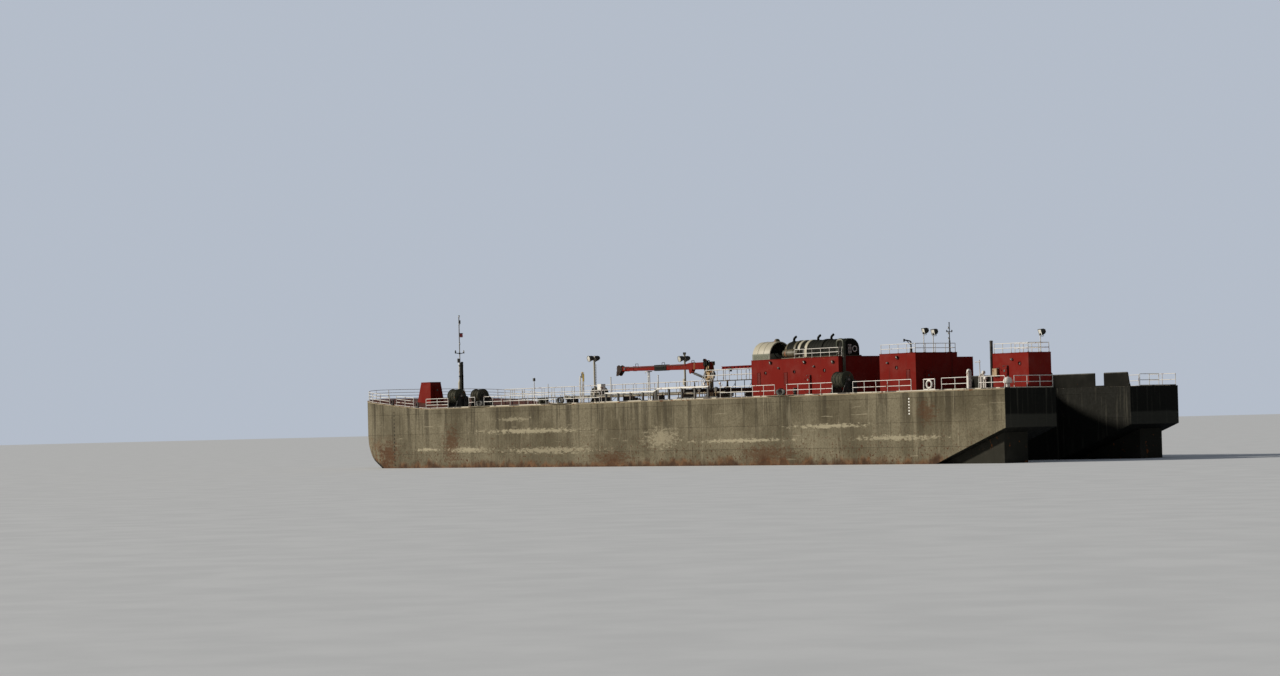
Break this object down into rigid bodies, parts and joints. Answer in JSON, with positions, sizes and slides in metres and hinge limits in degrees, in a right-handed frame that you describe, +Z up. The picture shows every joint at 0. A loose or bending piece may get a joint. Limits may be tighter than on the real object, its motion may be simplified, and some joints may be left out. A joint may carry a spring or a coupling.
{
  "type": "scale model of a river barge",
  "caption": "One-tenth scale tank barge with a raked stern, pusher notch, deck houses, mooring winches, masts, pipework and a luffing deck crane.",
  "frame": {"origin": "on the base line, amidships and on the centre line, at the middle of the bounding box's bottom", "axes": "+X aft to the transom, +Y to starboard, +Z up"},
  "size_m": [11.6, 2.334, 2.1486],
  "materials": {
    "hull_paint": "weathered grey-brown hull paint",
    "dark_paint": "weathered black paint",
    "white_paint": "off-white paint",
    "red_paint": "red paint, half gloss",
    "cream_paint": "cream paint",
    "olive_paint": "dark olive paint",
    "tan_paint": "tan paint",
    "bare_steel": "worn steel"
  },
  "bodies": {
    "barge": {"hull": "hull_paint", "stern_section": "hull_paint", "port_stern_wing": "hull_paint", "starboard_stern_wing": "hull_paint", "port_skeg": "hull_paint", "starboard_skeg": "hull_paint", "notch_coaming": "dark_paint", "forward_port_winch_frame": "dark_paint", "forward_centre_winch_frame": "dark_paint", "forward_starboard_winch_frame": "dark_paint", "aft_winch_frame": "dark_paint", "port_bitts_1": "dark_paint", "port_bitts_2": "dark_paint", "port_bitts_3": "dark_paint", "starboard_bitts_1": "dark_paint", "starboard_bitts_2": "dark_paint", "starboard_bitts_3": "dark_paint", "foremast": "dark_paint", "forward_light_tower": "dark_paint", "midship_light_tower": "dark_paint", "side_pipe": "dark_paint", "cargo_manifold": "dark_paint", "davit_step": "dark_paint", "port_rail": "white_paint", "starboard_rail": "white_paint", "bow_rail": "white_paint", "catwalk": "white_paint", "manifold_catwalk": "white_paint", "crane_crutch": "white_paint", "main_roof_rail": "white_paint", "middle_roof_rail": "white_paint", "stern_roof_rail": "white_paint", "stern_vents": "white_paint", "main_house": "red_paint", "middle_house": "red_paint", "stern_house": "red_paint", "forward_house": "red_paint", "cargo_pipes": "cream_paint", "roof_machinery": "olive_paint", "forward_hatch_trunk": "olive_paint", "middle_hatch_trunk": "olive_paint", "crane_pedestal": "tan_paint", "pump_engine": "bare_steel"},
    "forward_port_drum": {"forward_port_winch_drum": "olive_paint"},
    "forward_centre_drum": {"forward_centre_winch_drum": "olive_paint"},
    "forward_starboard_drum": {"forward_starboard_winch_drum": "olive_paint"},
    "aft_drum": {"aft_winch_drum": "olive_paint"},
    "main_door": {"main_house_door": "red_paint"},
    "middle_door": {"middle_house_door": "red_paint"},
    "stern_door": {"stern_house_door": "red_paint"},
    "forward_door": {"forward_house_door": "red_paint"},
    "king": {"crane_king": "red_paint"},
    "boom": {"crane_boom": "red_paint", "crane_boom_heel": "red_paint", "crane_head": "dark_paint"},
    "cylinder": {"luffing_cylinder": "bare_steel"},
    "rod": {"luffing_rod": "bare_steel"},
    "forward_lid": {"forward_hatch_lid": "olive_paint"},
    "middle_lid": {"middle_hatch_lid": "olive_paint"},
    "davit_arm": {"davit": "dark_paint"}
  },
  "joints": [
    {"name": "forward_port_drum_spin", "type": "hinge", "parent": "barge", "child": "forward_port_drum", "pos_m": [-3.524, -1.03, 1.1393], "axis": [1, 0, 0], "continuous": true},
    {"name": "forward_centre_drum_spin", "type": "hinge", "parent": "barge", "child": "forward_centre_drum", "pos_m": [-3.895, -0.46, 1.1424], "axis": [1, 0, 0], "continuous": true},
    {"name": "forward_starboard_drum_spin", "type": "hinge", "parent": "barge", "child": "forward_starboard_drum", "pos_m": [-3.524, 1.03, 1.1393], "axis": [1, 0, 0], "continuous": true},
    {"name": "aft_drum_spin", "type": "hinge", "parent": "barge", "child": "aft_drum", "pos_m": [3.379, -1.03, 1.1403], "axis": [1, 0, 0], "continuous": true},
    {"name": "main_door_swing", "type": "hinge", "parent": "barge", "child": "main_door", "pos_m": [2.18, -0.509, 1.1203], "axis": [0, 0, -1], "range_deg": [0, 110]},
    {"name": "middle_door_swing", "type": "hinge", "parent": "barge", "child": "middle_door", "pos_m": [3.879, -0.39, 1.1203], "axis": [0, 0, -1], "range_deg": [0, 110]},
    {"name": "stern_door_swing", "type": "hinge", "parent": "barge", "child": "stern_door", "pos_m": [5.41, -0.814, 1.1203], "axis": [0, 0, -1], "range_deg": [0, 110]},
    {"name": "forward_door_swing", "type": "hinge", "parent": "barge", "child": "forward_door", "pos_m": [-4.891, -0.46, 1.18998], "axis": [0, 0, -1], "range_deg": [0, 110]},
    {"name": "crane_slew", "type": "hinge", "parent": "barge", "child": "king", "pos_m": [-0.05, 0, 1.2253], "axis": [0, 0, 1], "range_deg": [-110, 110]},
    {"name": "crane_luff", "type": "hinge", "parent": "king", "child": "boom", "pos_m": [-0.05, 0, 1.3753], "axis": [0, 1, 0], "range_deg": [0, 60]},
    {"name": "cylinder_pivot", "type": "hinge", "parent": "king", "child": "cylinder", "pos_m": [-0.128, 0, 1.2403], "axis": [0, 1, 0], "range_deg": [0, 53.63]},
    {"name": "rod_slide", "type": "slide", "parent": "cylinder", "child": "rod", "axis": [-0.9574, 0, 0.2888], "range_m": [0, 0.1518]},
    {"name": "forward_lid_lift", "type": "hinge", "parent": "barge", "child": "forward_lid", "pos_m": [-2.576, -0.42, 1.0753], "axis": [0, 1, 0], "range_deg": [0, 110]},
    {"name": "middle_lid_lift", "type": "hinge", "parent": "barge", "child": "middle_lid", "pos_m": [-0.376, 0.56, 1.0753], "axis": [0, 1, 0], "range_deg": [0, 110]},
    {"name": "davit_swing", "type": "hinge", "parent": "barge", "child": "davit_arm", "pos_m": [3.765, -0.46, 1.4126], "axis": [0, 0, 1], "range_deg": [-120, 120]}
  ],
  "couplings": [
    {"joint": "cylinder_pivot", "follows": "crane_luff", "ratio": 0.89361},
    {"joint": "rod_slide", "follows": "crane_luff", "m_per_rad": 0.14495}
  ]
}
